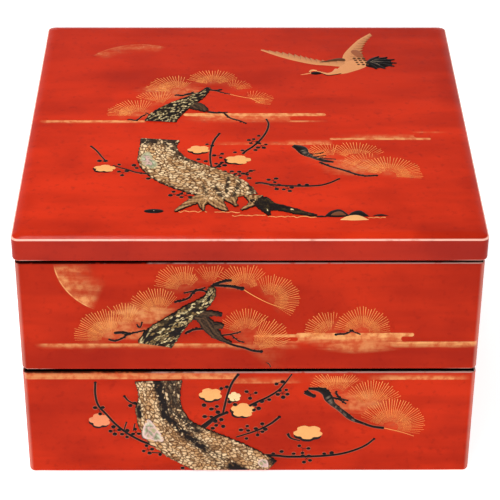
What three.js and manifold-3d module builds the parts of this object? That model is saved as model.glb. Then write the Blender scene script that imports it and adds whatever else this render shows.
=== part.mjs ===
// A two-tier stacking box of lacquered wood (a jubako): two square trays of one size, one on
// the other, under a lift-off lid. Millimetres, +Z up, front towards -Y.
// The origin is the centre of the underside, where the lower tray stands.
//
// Every piece is concentric rounded squares, so each is drawn as one profile, from the middle
// of its underside, round its edges, to the middle of its upper or inner face, and lofted
// round the square. The trunks of the painted trees stand a little proud of the lacquer, so
// they are joined on as low relief.

import * as THREE from 'three';
import { mergeVertices } from 'three/addons/utils/BufferGeometryUtils.js';
import Module from 'manifold-3d';

// Driving dimensions
const boxWidth = 240;           // lid, outside, both ways
const lidOverhang = 1;          // lid past the trays, each side
const tierHeight = 66.4;        // tray, from its foot to its shoulder
const seamGap = 2;              // shadow line between one piece and the next
const lidBand = 12.4;           // upright face of the lid
const crownDrop = 1.8;          // lid's top face above its upper arris
const crownWidth = 6;           // width of the sloping margin round the lid's top

// Walls and the joint between the pieces
const wallThickness = 7;        // tray wall, lacquer included
const lipThickness = 3.2;       // raised inner lip on a tray's rim
const lipHeight = 9;            // lip above the shoulder
const seatClearance = 0.5;      // play between a lip and the skirt that drops over it
const floorThickness = 5;       // tray's base board

// Corners seen from above, and the softened arrises
const tierCorner = 3.5;
const lidCorner = 4;
const panelCorner = 3;          // where the lid's flat top meets its sloping margin
const innerCorner = 3;
const lipCorner = 2;
const skirtCorner = 1.5;
const footArris = 1.2;
const lidFootArris = 0.8;
const shoulderArris = 0.8;
const lidArris = 0.45;
const innerArris = 0.6;
const floorFillet = 2;
const floorMargin = 2;          // flat ring of the floor past its fillet, before the fan of facets
const cornerSteps = 8;          // facets in each rounded corner
const arrisSteps = 3;           // facets in each softened arris

// Raised lacquer
const reliefHeight = 0.6;       // a trunk's face above the ground round it
const reliefBevel = 0.3;
const reliefRoot = 1;           // how deep a limb is let into the wall
const windowDepth = 4;          // box that the limbs are cut off by, half of it either side of the face
const limbSteps = 12;           // stretches along each limb

// Worked out from the above
const tierHalf = boxWidth / 2 - lidOverhang;
const innerHalf = tierHalf - wallThickness;
const lipHalf = innerHalf + lipThickness;
const skirtHalf = lipHalf + seatClearance;
const seatDepth = lipHeight - seamGap;      // how far a skirt reaches down past the lip's top
const tierPitch = tierHeight + seamGap;     // one tray's foot above the next
const lidFoot = 2 * tierPitch;
const lidHeight = lidBand + crownDrop;

// The lid's sloping margin is an arc that leaves the flat top level and has fallen by
// crownDrop at the arris.
const crownSlope = 2 * Math.atan2(crownDrop, crownWidth);
const crownRadius = crownWidth / Math.sin(crownSlope);

// One station of a profile: a rounded square of that half-width and corner radius at a height.
function station(half, corner, z, round = 0) {
  return { half, corner, z, round };
}

// Replaces each station that asks for rounding by an arc tangent to both its neighbours.
function softened(stations) {
  const out = [];
  stations.forEach((here, i) => {
    if (!here.round) {
      out.push(here);
      return;
    }
    const corner = new THREE.Vector2(here.half, here.z);
    const before = new THREE.Vector2(stations[i - 1].half, stations[i - 1].z).sub(corner).normalize();
    const after = new THREE.Vector2(stations[i + 1].half, stations[i + 1].z).sub(corner).normalize();
    const halfAngle = Math.acos(before.dot(after)) / 2;
    const middle = before.clone().add(after).normalize();
    const centre = corner.clone().addScaledVector(middle, here.round / Math.sin(halfAngle));
    const reach = here.round / Math.tan(halfAngle);
    const from = corner.clone().addScaledVector(before, reach).sub(centre);
    const to = corner.clone().addScaledVector(after, reach).sub(centre);
    const turn = Math.atan2(from.cross(to), from.dot(to));
    for (let k = 0; k <= arrisSteps; k += 1) {
      const p = from.clone().rotateAround(new THREE.Vector2(), (turn * k) / arrisSteps).add(centre);
      out.push(station(p.x, here.corner + p.x - here.half, p.y));
    }
  });
  return out;
}

// The points of a rounded square, anticlockwise from above.
function ringPoints({ half, corner, z }) {
  const reach = half - corner;
  const points = [];
  for (let quarter = 0; quarter < 4; quarter += 1) {
    const middle = new THREE.Vector2(reach, reach).rotateAround(new THREE.Vector2(), (quarter * Math.PI) / 2);
    for (let k = 0; k <= cornerSteps; k += 1) {
      const angle = ((quarter + k / cornerSteps) * Math.PI) / 2;
      points.push(new THREE.Vector3(middle.x + corner * Math.cos(angle), middle.y + corner * Math.sin(angle), z));
    }
  }
  return points;
}

// A closed body: the stations in order, joined ring to ring, with a flat face at each end.
function loft(stations) {
  const rings = stations.map(ringPoints);
  const count = rings[0].length;
  const first = stations[0].z;
  const last = stations[stations.length - 1].z;
  const vertices = [new THREE.Vector3(0, 0, first), ...rings.flat(), new THREE.Vector3(0, 0, last)];
  const end = vertices.length - 1;
  const faces = [];
  for (let k = 0; k < count; k += 1) {
    const next = (k + 1) % count;
    faces.push([0, 1 + next, 1 + k]);
    for (let r = 0; r + 1 < rings.length; r += 1) {
      const low = 1 + r * count;
      const high = low + count;
      faces.push([low + k, low + next, high + next], [low + k, high + next, high + k]);
    }
    faces.push([end, end - count + k, end - count + next]);
  }
  const geometry = new THREE.BufferGeometry().setFromPoints(vertices);
  geometry.setIndex(faces.flat());
  geometry.computeVertexNormals();
  return geometry;
}

// Limbs of the trees, each a row of [across, up, half width] along its middle. On a tray's
// front they are hundredths of the tray's height, from the middle of its foot; on the lid they
// are hundredths of the lid's width, from its middle.
const trayPlum = [
  [
    [-72, 92.6, 18.5], [-71.5, 76.8, 16], [-72, 60.2, 19.3], [-64, 40.7, 20],
    [-46.7, 27.1, 20.5], [-29.4, 17.3, 21.5], [-12, 6, 23.3], [7.5, -9, 24.8],
  ],
];

const trayPine = [
  [
    [-73.8, 23.9, 13.2], [-73.4, 26.3, 13], [-66, 35.6, 11.6], [-55, 47.4, 7.8],
    [-45.2, 56.5, 6.6], [-36.9, 62.5, 5.1], [-30.9, 69.3, 3.9], [-29.1, 75.3, 2.7], [-29.8, 79.2, 1.5],
  ],
  [[-43.7, 51.8, 4.2], [-36.1, 53, 3.6], [-28.6, 54.2, 2.2], [-21.4, 52.7, 1.5]],
  [[-37.7, 51.2, 4.5], [-32.4, 42.9, 5.1], [-27.9, 36.1, 4.5], [-21.8, 29.8, 2.1], [-14.3, 25.9, 0.8]],
  [[-28.6, 42.2, 3.8], [-23.3, 42.5, 2.7], [-20.5, 41.3, 1.2]],
];

const lidPlum = [
  [
    [-20, -8.9, 4.4], [-20.4, -12.5, 4], [-19.9, -16.7, 5], [-18.5, -20.4, 5.4], [-15.2, -23.8, 5.9],
    [-11.3, -26.5, 5.9], [-7.1, -29.2, 5.7], [-4.8, -32.1, 5.8], [-4, -34.6, 6],
  ],
  [[-9.2, -33.8, 1.9], [-12.1, -35.8, 1.2], [-14.2, -37.9, 0.7], [-16, -40, 0.2]],
  [[-9.2, -34.6, 1.7], [-10.2, -37.1, 0.8], [-9.8, -39.8, 0.2]],
  [[-7.9, -34.2, 2.1], [-6.7, -37.1, 1.4], [-4.8, -39.8, 0.3]],
  [[-4.2, -34.2, 1.7], [-3.5, -36.3, 0.7], [-2.7, -37.9, 0.2]],
  [[0.8, -33.3, 2.1], [0.6, -36.7, 0.8], [-1.9, -39.4, 0.2]],
  [[1.7, -34.6, 2.1], [3.1, -38.3, 1.2], [4.2, -41.5, 0.2]],
  [[2.4, -35.4, 1.9], [3.7, -37.5, 1.9], [6.3, -38.3, 1.1], [8.8, -39.4, 1], [11.3, -40.6, 0.7], [14.2, -41.6, 0.2]],
];

const lidPine = [
  [
    [-20.2, -0.7, 3.6], [-20.1, 0.3, 3.5], [-18.7, 3.2, 3.2], [-16.9, 5.8, 2.7],
    [-14.6, 8.5, 2.1], [-12.5, 10.8, 1.6], [-10.8, 12.9, 1.1], [-9.7, 15, 0.6], [-9.4, 16, 0.4],
  ],
  [[-13.4, 7.4, 1.4], [-12.2, 6.9, 1.6], [-10.9, 5.9, 1.3], [-9.6, 4.3, 0.5]],
];

const wasm = await Module();
wasm.setup();

function toSolid(geometry) {
  const bare = new THREE.BufferGeometry();
  bare.setAttribute('position', geometry.getAttribute('position'));
  bare.setIndex(geometry.getIndex());
  const merged = mergeVertices(bare);
  return new wasm.Manifold(new wasm.Mesh({
    numProp: 3,
    vertProperties: Float32Array.from(merged.getAttribute('position').array),
    triVerts: Uint32Array.from(merged.getIndex().array),
  }));
}

function toGeometry(solid) {
  const mesh = solid.getMesh();
  const geometry = new THREE.BufferGeometry();
  geometry.setAttribute('position', new THREE.BufferAttribute(mesh.vertProperties, 3));
  geometry.setIndex(new THREE.BufferAttribute(mesh.triVerts, 1));
  geometry.computeVertexNormals();
  return geometry;
}

// One limb lying on z = 0, let in by reliefRoot and standing reliefHeight above it.
function limb(path, unit) {
  const middle = new THREE.CatmullRomCurve3(path.map(([x, y, half]) => new THREE.Vector3(x, y, half)));
  const left = [];
  const right = [];
  for (let k = 0; k <= limbSteps; k += 1) {
    const p = middle.getPoint(k / limbSteps);
    const along = middle.getTangent(k / limbSteps);
    const across = new THREE.Vector2(-along.y, along.x).normalize().multiplyScalar(p.z);
    left.push(new THREE.Vector2(p.x, p.y).add(across).multiplyScalar(unit));
    right.unshift(new THREE.Vector2(p.x, p.y).sub(across).multiplyScalar(unit));
  }
  const geometry = new THREE.ExtrudeGeometry(new THREE.Shape([...left, ...right]), {
    depth: reliefRoot + reliefHeight - 2 * reliefBevel,
    bevelThickness: reliefBevel,
    bevelSize: reliefBevel,
    bevelOffset: -reliefBevel,
    bevelSegments: 1,
  });
  geometry.translate(0, 0, reliefBevel - reliefRoot);
  return geometry;
}

// Joins limbs on to a body. place carries a limb from z = 0 to the face; window is the box
// that they are cut off by.
function withRelief(body, limbs, unit, place, window) {
  const raised = limbs
    .map((path) => toSolid(limb(path, unit).applyMatrix4(place)))
    .reduce((all, next) => all.add(next))
    .intersect(toSolid(window));
  return toGeometry(toSolid(body).add(raised));
}

// A tray standing at z = 0. Its skirt drops over the lip of the tray below, whose top
// carries the base board.
function trayGeometry(limbs) {
  const inside = seatDepth + floorThickness;
  const body = loft(softened([
    station(skirtHalf, skirtCorner, seatDepth),
    station(skirtHalf, skirtCorner, 0, innerArris),
    station(tierHalf, tierCorner, 0, footArris),
    station(tierHalf, tierCorner, tierHeight, shoulderArris),
    station(lipHalf, lipCorner, tierHeight),
    station(lipHalf, lipCorner, tierHeight + lipHeight, innerArris),
    station(innerHalf, innerCorner, tierHeight + lipHeight, innerArris),
    station(innerHalf, innerCorner, inside, floorFillet),
    station(innerHalf - floorFillet - floorMargin, innerCorner, inside),
  ]));
  const place = new THREE.Matrix4().makeRotationX(Math.PI / 2).setPosition(0, -tierHalf, 0);
  const window = new THREE.BoxGeometry(
    2 * (tierHalf - tierCorner),
    windowDepth,
    tierHeight - footArris - shoulderArris,
  );
  window.translate(0, -tierHalf, (tierHeight + footArris - shoulderArris) / 2);
  return withRelief(body, limbs, tierHeight / 100, place, window);
}

// The lid, its foot at z = 0: a skirt, an upright band, and a top whose margin falls away.
function lidGeometry() {
  const lidHalf = boxWidth / 2;
  const flatHalf = lidHalf - crownWidth;
  const margin = [];
  const marginSteps = 5;
  for (let k = marginSteps - 1; k >= 0; k -= 1) {
    const angle = (crownSlope * k) / marginSteps;
    const outward = crownRadius * Math.sin(angle);
    const corner = THREE.MathUtils.mapLinear(outward, 0, crownWidth, panelCorner, lidCorner);
    margin.push(station(flatHalf + outward, corner, lidHeight - crownRadius * (1 - Math.cos(angle))));
  }
  const body = loft(softened([
    station(skirtHalf, skirtCorner, seatDepth),
    station(skirtHalf, skirtCorner, 0, innerArris),
    station(lidHalf, lidCorner, 0, lidFootArris),
    station(lidHalf, lidCorner, lidBand, lidArris),
    ...margin,
  ]));
  const place = new THREE.Matrix4().setPosition(0, 0, lidHeight);
  const window = new THREE.BoxGeometry(2 * flatHalf, 2 * flatHalf, windowDepth);
  window.translate(0, 0, lidHeight);
  return withRelief(body, [...lidPlum, ...lidPine], boxWidth / 100, place, window);
}

function lacquer(color) {
  return new THREE.MeshStandardMaterial({ color, roughness: 0.28, metalness: 0 });
}

function piece(name, geometry, z, color) {
  const mesh = new THREE.Mesh(geometry, lacquer(color));
  mesh.name = name;
  mesh.position.z = z;
  return mesh;
}

const box = new THREE.Group();
box.add(
  piece('lower_tier', trayGeometry(trayPlum), 0, 0xb52a17),
  piece('upper_tier', trayGeometry(trayPine), tierPitch, 0xb02815),
  piece('lid', lidGeometry(), lidFoot, 0xc43220),
);

export default box;
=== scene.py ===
"""Looks for a two-tier lacquer stacking box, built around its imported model.

Blender works in metres. Everything painted or raised on a face is given in millimetres on that
face: across it, up it, and out from it.
"""

import math

import bpy
import numpy as np
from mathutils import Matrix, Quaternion, Vector


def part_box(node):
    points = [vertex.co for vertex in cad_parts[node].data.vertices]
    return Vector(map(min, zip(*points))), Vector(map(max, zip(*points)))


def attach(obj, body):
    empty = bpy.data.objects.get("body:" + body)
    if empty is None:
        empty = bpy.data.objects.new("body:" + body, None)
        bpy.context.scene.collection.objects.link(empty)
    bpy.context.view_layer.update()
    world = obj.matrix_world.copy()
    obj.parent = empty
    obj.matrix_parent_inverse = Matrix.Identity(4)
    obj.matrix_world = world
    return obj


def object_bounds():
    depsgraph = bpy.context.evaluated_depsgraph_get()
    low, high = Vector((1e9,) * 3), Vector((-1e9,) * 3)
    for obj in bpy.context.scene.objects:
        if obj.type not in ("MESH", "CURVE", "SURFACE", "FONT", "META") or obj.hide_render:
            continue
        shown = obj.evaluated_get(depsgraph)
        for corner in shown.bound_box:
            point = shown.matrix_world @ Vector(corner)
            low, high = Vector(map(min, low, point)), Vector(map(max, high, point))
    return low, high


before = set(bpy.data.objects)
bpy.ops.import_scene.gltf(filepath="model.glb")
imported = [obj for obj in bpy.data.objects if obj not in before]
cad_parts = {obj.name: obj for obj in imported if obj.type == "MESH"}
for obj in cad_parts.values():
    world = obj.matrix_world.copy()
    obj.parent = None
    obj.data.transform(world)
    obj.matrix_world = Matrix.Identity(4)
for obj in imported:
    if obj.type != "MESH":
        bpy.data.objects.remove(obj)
cad_low, cad_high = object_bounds()

MM = 0.001
BODY = "root"

# Sizes of the box that the frame doesn't give
RELIEF = 0.6                        # how far the trunks stand out of the solids
SEAM = 2.0                          # between one piece and the next
CROWN_DROP = 1.8                    # the lid's sloping margin, down and across
CROWN_WIDTH = 6.0
FOOT_ARRIS = 1.2
SHOULDER_ARRIS = 0.8

# The rest of its sizes, read back from the frame
LOWER_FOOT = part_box("lower_tier")[0].z / MM
UPPER_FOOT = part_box("upper_tier")[0].z / MM
LID_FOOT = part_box("lid")[0].z / MM
LID_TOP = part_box("lid")[1].z / MM - RELIEF
LID_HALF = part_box("lid")[1].x / MM
TIER_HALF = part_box("upper_tier")[1].x / MM
TIER_HEIGHT = UPPER_FOOT - LOWER_FOOT - SEAM
LOWER_SHOULDER = LOWER_FOOT + TIER_HEIGHT
UPPER_SHOULDER = UPPER_FOOT + TIER_HEIGHT
LID_ARRIS = LID_TOP - CROWN_DROP    # where the lid's sloping margin meets its upright face
FLAT_HALF = LID_HALF - CROWN_WIDTH
BLACK_WITHIN = TIER_HALF - 1.1      # nearer the middle than this, a tray is black lacquer
BLACK_BELOW = LID_FOOT + 8.5        # and so is the lid, lower than this

rng = np.random.default_rng(8)


def rgb(red, green, blue):
    """A display colour, 0 to 255, as the linear one that shaders use."""
    shares = [v / 255 for v in (red, green, blue)]
    return tuple(v / 12.92 if v <= 0.04045 else ((v + 0.055) / 1.055) ** 2.4 for v in shares)


# One vermilion lacquer. The lower tray's and the lid's copies are painted lighter: painted light where more
# light falls.
RED_TIER = rgb(200, 46, 15)
RED_LOWER_LIT = rgb(208, 48, 15)
RED_LID_LIT = rgb(212, 48, 16)
RED_DEEP = rgb(140, 20, 6)
# Pale colours of rubbed edges, used both for real wear and for painted highlight.
RED_WEAR_AND_HIGHLIGHT = rgb(250, 190, 170)
LINE_WEAR_AND_HIGHLIGHT = rgb(206, 176, 166)
GOLD = rgb(232, 150, 86)
GOLD_PALE = rgb(246, 178, 110)
GOLD_DUST = rgb(214, 112, 62)
NEEDLE = rgb(244, 172, 92)
BLACK = rgb(16, 9, 8)
# The pale rim round black twigs and buds: partly a gold outline, partly a painted highlight of their raised
# edge.
RIM = rgb(176, 92, 66)
WING = rgb(232, 156, 100)
WING_DEEP = rgb(164, 92, 56)
PEACH = rgb(250, 178, 106)
PEACH_DEEP = rgb(228, 148, 84)
PEACH_ROSE = rgb(238, 142, 96)
PEACH_PALE = rgb(252, 218, 158)
BARK_CREAM = rgb(246, 212, 164)
BARK_TAN = rgb(204, 156, 104)
BARK_GREY = rgb(96, 68, 44)
BARK_LINE = rgb(88, 50, 20)
BARK_OLIVE = rgb(70, 54, 26)
GREY = rgb(150, 132, 112)
FLECK = rgb(240, 216, 160)
FLECK_DEEP = rgb(140, 112, 66)
SHELL_PINK = rgb(232, 200, 186)
SHELL_GREY = rgb(176, 166, 126)
SHELL_TINTS = [rgb(206, 206, 172), rgb(120, 132, 92), rgb(222, 176, 170), rgb(170, 162, 116)]


# Faces that the pictures lie on

class Face:
    """A flat side of the box. Its points are given in millimetres across, up and out of it."""

    def __init__(self, origin, across, up, edge=1.2):
        self.edge = edge            # how far behind the face its painting fades away
        self.origin = np.array(origin, float)
        self.across = np.array(across, float)
        self.up = np.array(up, float)
        self.out = np.cross(self.across, self.up)

    def place(self, a, b, h):
        a, b, h = (np.asarray(v, float)[..., None] for v in (a, b, h))
        return (self.origin + a * self.across + b * self.up + h * self.out) * MM


LID = Face((0, 0, LID_TOP), (1, 0, 0), (0, 1, 0), 1.0)
FRONT = Face((0, -TIER_HALF, 0), (1, 0, 0), (0, 0, 1))
RIGHT = Face((TIER_HALF, 0, 0), (0, 1, 0), (0, 0, 1))
BACK = Face((0, TIER_HALF, 0), (-1, 0, 0), (0, 0, 1))
LEFT = Face((-TIER_HALF, 0, 0), (0, -1, 0), (0, 0, 1))


# Shader values that add and multiply as numbers do

class Value:
    def __init__(self, graph, socket):
        self.graph = graph
        self.socket = socket

    def __add__(self, other):
        return self.graph.math("ADD", self, other)

    def __sub__(self, other):
        return self.graph.math("SUBTRACT", self, other)

    def __rsub__(self, other):
        return self.graph.math("SUBTRACT", other, self)

    def __mul__(self, other):
        return self.graph.math("MULTIPLY", self, other)

    __radd__ = __add__
    __rmul__ = __mul__


class Graph:
    """The node tree of one material."""

    def __init__(self, name):
        self.material = bpy.data.materials.new(name)
        self.material.use_nodes = True
        self.nodes = self.material.node_tree.nodes
        self.links = self.material.node_tree.links
        self.shader = self.nodes["Principled BSDF"]

    def feed(self, socket, value):
        if isinstance(value, Value):
            self.links.new(value.socket, socket)
        elif isinstance(value, tuple) and socket.type == "RGBA":
            socket.default_value = (*value, 1)
        else:
            socket.default_value = value

    def node(self, kind, inputs=(), output=0, **settings):
        made = self.nodes.new(kind)
        for key, setting in settings.items():
            setattr(made, key, setting)
        for key, value in dict(inputs).items():
            self.feed(made.inputs[key], value)
        return Value(self, made.outputs[output])

    def math(self, operation, *values):
        return self.node("ShaderNodeMath", enumerate(values), operation=operation)

    def most(self, *values):
        found = values[0]
        for other in values[1:]:
            found = self.math("MAXIMUM", found, other)
        return found

    def least(self, a, b):
        return self.math("MINIMUM", a, b)

    def size_of(self, a):
        return self.math("ABSOLUTE", a)

    def ease(self, value, low, high, at_low=0.0, at_high=1.0):
        """Turns smoothly from at_low to at_high as value goes from low to high."""
        inputs = {0: value, 1: low, 2: high, 3: at_low, 4: at_high}
        return self.node("ShaderNodeMapRange", inputs, interpolation_type="SMOOTHSTEP")

    def point(self):
        """This point of the surface, in millimetres in the box's frame."""
        here = self.node("ShaderNodeTexCoord", output="Object")
        return self.node("ShaderNodeVectorMath", {0: here, 3: 1 / MM}, operation="SCALE")

    def parts(self, vector):
        split = self.nodes.new("ShaderNodeSeparateXYZ")
        self.links.new(vector.socket, split.inputs[0])
        return [Value(self, s) for s in split.outputs]

    def join(self, x, y, z=0.0):
        return self.node("ShaderNodeCombineXYZ", {0: x, 1: y, 2: z})

    def stretched(self, vector, *scale):
        return self.node("ShaderNodeVectorMath", {0: vector, 1: scale}, operation="MULTIPLY")

    def noise(self, vector, scale, detail=2.0):
        inputs = {"Vector": vector, "Scale": scale, "Detail": detail}
        return self.node("ShaderNodeTexNoise", inputs, output="Fac")

    def distance(self, vector, x, y):
        inputs = {0: vector, 1: (x, y, 0.0)}
        return self.node("ShaderNodeVectorMath", inputs, 1, operation="DISTANCE")

    def length(self, x, y):
        return self.node("ShaderNodeVectorMath", {0: self.join(x, y)}, 1, operation="LENGTH")

    def along(self, vector, way):
        """How far a point lies from the frame's origin in one direction."""
        inputs = {0: vector, 1: tuple(way)}
        return self.node("ShaderNodeVectorMath", inputs, 1, operation="DOT_PRODUCT")

    def mix(self, share, first, second):
        """Blends two colours, which are a Mix node's inputs 6 and 7 and its output 2."""
        made = self.nodes.new("ShaderNodeMix")
        made.data_type = "RGBA"
        self.feed(made.inputs[0], share)
        self.feed(made.inputs[6], first)
        self.feed(made.inputs[7], second)
        return Value(self, made.outputs[2])

    def bump(self, height, distance, strength=1.0):
        inputs = {"Height": height, "Distance": distance, "Strength": strength}
        return self.node("ShaderNodeBump", inputs)

    def finish(self, **sockets):
        """Sets sockets of the shader, named with _ for each space."""
        for name, value in sockets.items():
            self.feed(self.shader.inputs[name.replace("_", " ")], value)
        return self.material


# Paintings in flat gold: mist, sun and the dust round the needles

class Painter:
    """Finds how much gold lies at a point (a, b) of a face: the most that any stroke lays there."""

    def __init__(self, graph, a, b):
        self.graph = graph
        self.a = a
        self.b = b
        self.spot = graph.join(a, b)
        self.streak = graph.noise(graph.join(a * 0.05, b * 0.5), 1.0, 4.0)
        self.grain = graph.noise(self.spot, 3.0, 2.0)
        self.gold = 0.0

    def lay(self, amount):
        self.gold = self.graph.most(self.gold, amount)

    def capsule(self, left, right, middle, radius, soft=0.15):
        """1 inside a level stroke with round ends, 0 outside."""
        g = self.graph
        half = (right - left) / 2 - radius
        beyond = g.most(g.size_of(self.a - (left + right) / 2) - half, 0.0)
        return g.ease(g.length(beyond, self.b - middle), radius + soft, radius - soft)

    def stroke(self, left, right, middle, radius, amount=1.0):
        worn = self.graph.ease(self.grain, 0.25, 0.6, 0.6, 1.0)
        self.lay(self.capsule(left, right, middle, radius, 0.2) * amount * worn)

    def band(self, left, right, edge, depth, amount, fade_left, fade_right, notches=()):
        """Mist from a crisp edge, fading over depth: downwards, or upwards if depth is under 0."""
        g = self.graph
        crisp = math.copysign(0.2, depth)
        body = g.ease(self.b, edge + crisp, edge - crisp)
        fade = g.ease(self.b + (self.streak - 0.5) * 2.4, edge - depth, edge - 0.15 * depth)
        ends = g.ease(self.a, left, left + fade_left) * g.ease(self.a, right, right - fade_right)
        mass = body * fade * ends
        for notch in notches:
            mass = mass * (1.0 - self.capsule(*notch))
        self.lay(mass * amount * g.ease(self.streak + self.grain * 0.3, 0.3, 0.85, 0.6, 1.0))

    def dust(self, fan):
        """Haze of gold powder behind the needles of a fan."""
        g = self.graph
        x, y, radius, facing, spread, amount = fan
        toward = (math.cos(math.radians(facing)), math.sin(math.radians(facing)))
        away = g.distance(self.spot, x, y)
        ahead = (self.a - x) * toward[0] + (self.b - y) * toward[1]
        low = radius * math.cos(math.radians(spread)) - 0.25 * radius
        behind = g.ease(ahead, min(low, -0.1 * radius), 0.2 * radius)
        reach = g.ease(away, radius * 0.95, radius * 0.1) * behind
        self.lay(reach * (0.18 * amount) * g.ease(self.streak, 0.25, 0.65, 0.5, 1.0))

    def haze(self, x, y, wide, high, amount):
        """A soft cloud of gold, wide and high from its middle to its edge."""
        g = self.graph
        away = g.length((self.a - x) * (1 / wide), (self.b - y) * (1 / high))
        self.lay(g.ease(away + (self.streak - 0.5) * 0.8, 1.0, 0.3) * amount)

    def sun(self, x, y, radius, low_angle, high_angle, rim, fill, fill_width):
        """A disc: a thin rim between two angles, and streaks of gold that fade from its edge."""
        g = self.graph
        away = g.distance(self.spot, x, y)
        low, high = math.radians(low_angle), math.radians(high_angle)
        turn = g.math("WRAP", g.math("ARCTAN2", self.b - y, self.a - x), low + 2 * math.pi, low)
        along = g.ease(turn, low, low + 0.2) * g.ease(turn, high, high - 0.2)
        line = g.ease(g.size_of(away - radius), 0.5, 0.15)
        self.lay(line * along * rim)
        inside = g.ease(away, radius + 0.1, radius - 0.2)
        near = g.ease(away, radius - fill_width, radius - 1.0)
        streaks = g.ease(g.noise(g.join(self.a * 0.03, self.b * 0.22), 1.0, 3.0), 0.35, 0.62, 0.3)
        self.lay(inside * near * along * streaks * fill * g.ease(self.grain, 0.3, 0.6, 0.6, 1.0))


# Fans of pine needles: middle across and up, reach, facing and half spread in degrees, strength

LID_FANS = [
    (-40, 34, 20, 116, 62, 0.9), (-20, 42, 18.5, 92, 66, 0.9), (-50, 17, 18, 116, 58, 0.8),
    (-61, 6, 19, 122, 60, 0.8), (-9, 36, 13, 60, 50, 0.3), (1, 22, 14, 40, 60, 0.25),
    (44, -42, 17, 112, 58, 0.7), (57, -44, 20, 80, 62, 0.9), (63, -53, 17, 104, 60, 0.6),
    (73, -60, 20.5, 74, 84, 0.9),
]
UPPER_FANS = [
    (-33, 118, 18, 108, 62, 0.8), (-20, 121, 14, 80, 50, 0.45), (-47, 103, 17.5, 108, 62, 1.0),
    (-64, 95, 16, 112, 60, 1.0), (-72, 87.5, 20, 124, 58, 1.0), (-3, 119, 16, 96, 78, 0.8),
    (9, 112, 17, 36, 76, 0.8), (-2, 91, 16, 76, 86, 0.7), (0, 80, 24, 44, 30, 0.9),
    (42, 90, 15.5, 124, 60, 0.9), (58, 91.5, 16.5, 84, 86, 1.0),
]
LOWER_FANS = [
    (46, 52, 17, 100, 62, 0.8), (64, 43, 18.5, 68, 74, 0.9), (75, 29, 20, 70, 84, 0.85),
]
SIDE_FANS = [
    (-32, 98, 16, 118, 58, 0.8), (-14, 104, 17, 92, 66, 0.9), (6, 99, 15, 52, 70, 0.7),
]


def turned(fans, flip, shift):
    """The same fans, moved along a side and mirrored if flip is -1."""
    return [(flip * x + shift, y, radius, facing if flip > 0 else 180 - facing, spread, amount)
            for x, y, radius, facing, spread, amount in fans]


# How the plain sides differ: the face, whether its picture is mirrored, how far it is moved
SIDES = {"right": (RIGHT, 1, 18), "back": (BACK, -1, 10), "left": (LEFT, 1, -22)}


def paint_lid(brush):
    brush.band(-116, -56, 0.4, 3.6, 0.95, 6, 3)
    brush.stroke(-36, 43, 7.0, 1.6, 0.95)
    brush.band(-38, 26, 8.4, 12, 0.6, 22, 5, [(23, 60, 2.4, 2.3)])
    brush.band(20, 46, 0.2, 2.4, 0.6, 3, 20)
    brush.stroke(44, 99, -20.4, 1.1, 0.75)
    brush.band(46, 99, -21.4, -7.5, 0.5, 26, 3, [(90, 120, -17, 2.2)])
    brush.band(88, 110, -12.4, 2.2, 0.35, 4, 10)
    brush.band(19, 46, -27, -6.5, 0.5, 3, 3)
    brush.band(-20, 30, -27, -5, 0.2, 8, 8)
    brush.sun(-63, 60, 33, 62, 148, 0.3, 0.28, 12)
    brush.haze(-42, 34, 24, 12, 0.26)
    brush.haze(-60, 9, 16, 7, 0.2)
    brush.haze(58, -50, 24, 12, 0.3)
    for fan in LID_FANS:
        brush.dust(fan)


def paint_upper(brush):
    brush.band(-112, -1, 85.2, 3.8, 0.66, 8, 6)
    brush.stroke(2, 46, 89.8, 0.7, 0.8)
    brush.stroke(24, 85, 90.6, 1.15)
    brush.band(2, 84, 90.9, 7.5, 0.95, 20, 1, [(78.5, 140, 88.1, 1.9), (-6, 25, 87.8, 1.3)])
    brush.band(62, 119.5, 86.2, 4.4, 0.9, 16, 1)
    brush.band(-12, 28, 84.5, 4, 0.4, 6, 10)
    brush.haze(56, 83.5, 24, 5.5, 0.5)
    brush.haze(-54, 104, 20, 8, 0.6)
    brush.haze(-68, 97, 16, 9, 0.45)
    brush.haze(-62, 92, 24, 6, 0.4)
    brush.sun(-66, 137, 33, 183, 247, 0.9, 0.8, 20)
    for fan in UPPER_FANS:
        brush.dust(fan)


def paint_lower(brush):
    brush.band(-119.5, -5, 62.2, -7, 0.7, 1, 3)
    brush.band(-90, -8, 63.4, -2, 0.4, 30, 20)
    brush.band(-9, 30, 59.3, -5, 0.45, 2, 14)
    brush.band(28, 62, 60, -4.5, 0.5, 14, 14)
    brush.band(60, 118, 61.6, -4, 0.75, 16, 14)
    brush.haze(58, 47, 17, 10, 0.4)
    for fan in LOWER_FANS:
        brush.dust(fan)


def paint_side(high, low, with_fans, flip, shift):
    """Plainer mist, and a few fans, for a side that the photo doesn't show."""
    def paint(brush):
        brush.band(-100 + shift, 12 + shift, high, 3.6, 0.8, 20, 12)
        brush.stroke(-2 + shift, 64 + shift, high - 1.2, 1.2, 0.8)
        brush.band(34, 118.5, low, 3.8, 0.7, 14, 2)
        for fan in turned(SIDE_FANS, flip, shift) if with_fans else ():
            brush.dust(fan)
    return paint


def on_face(g, face, here):
    """This point's places across and up a face, and how much it is on that face."""
    a, b, h = (g.along(here, way) for way in (face.across, face.up, face.out))
    inner = face.origin @ face.out - face.edge
    return a, b, g.ease(h, inner, inner + 0.4)


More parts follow.
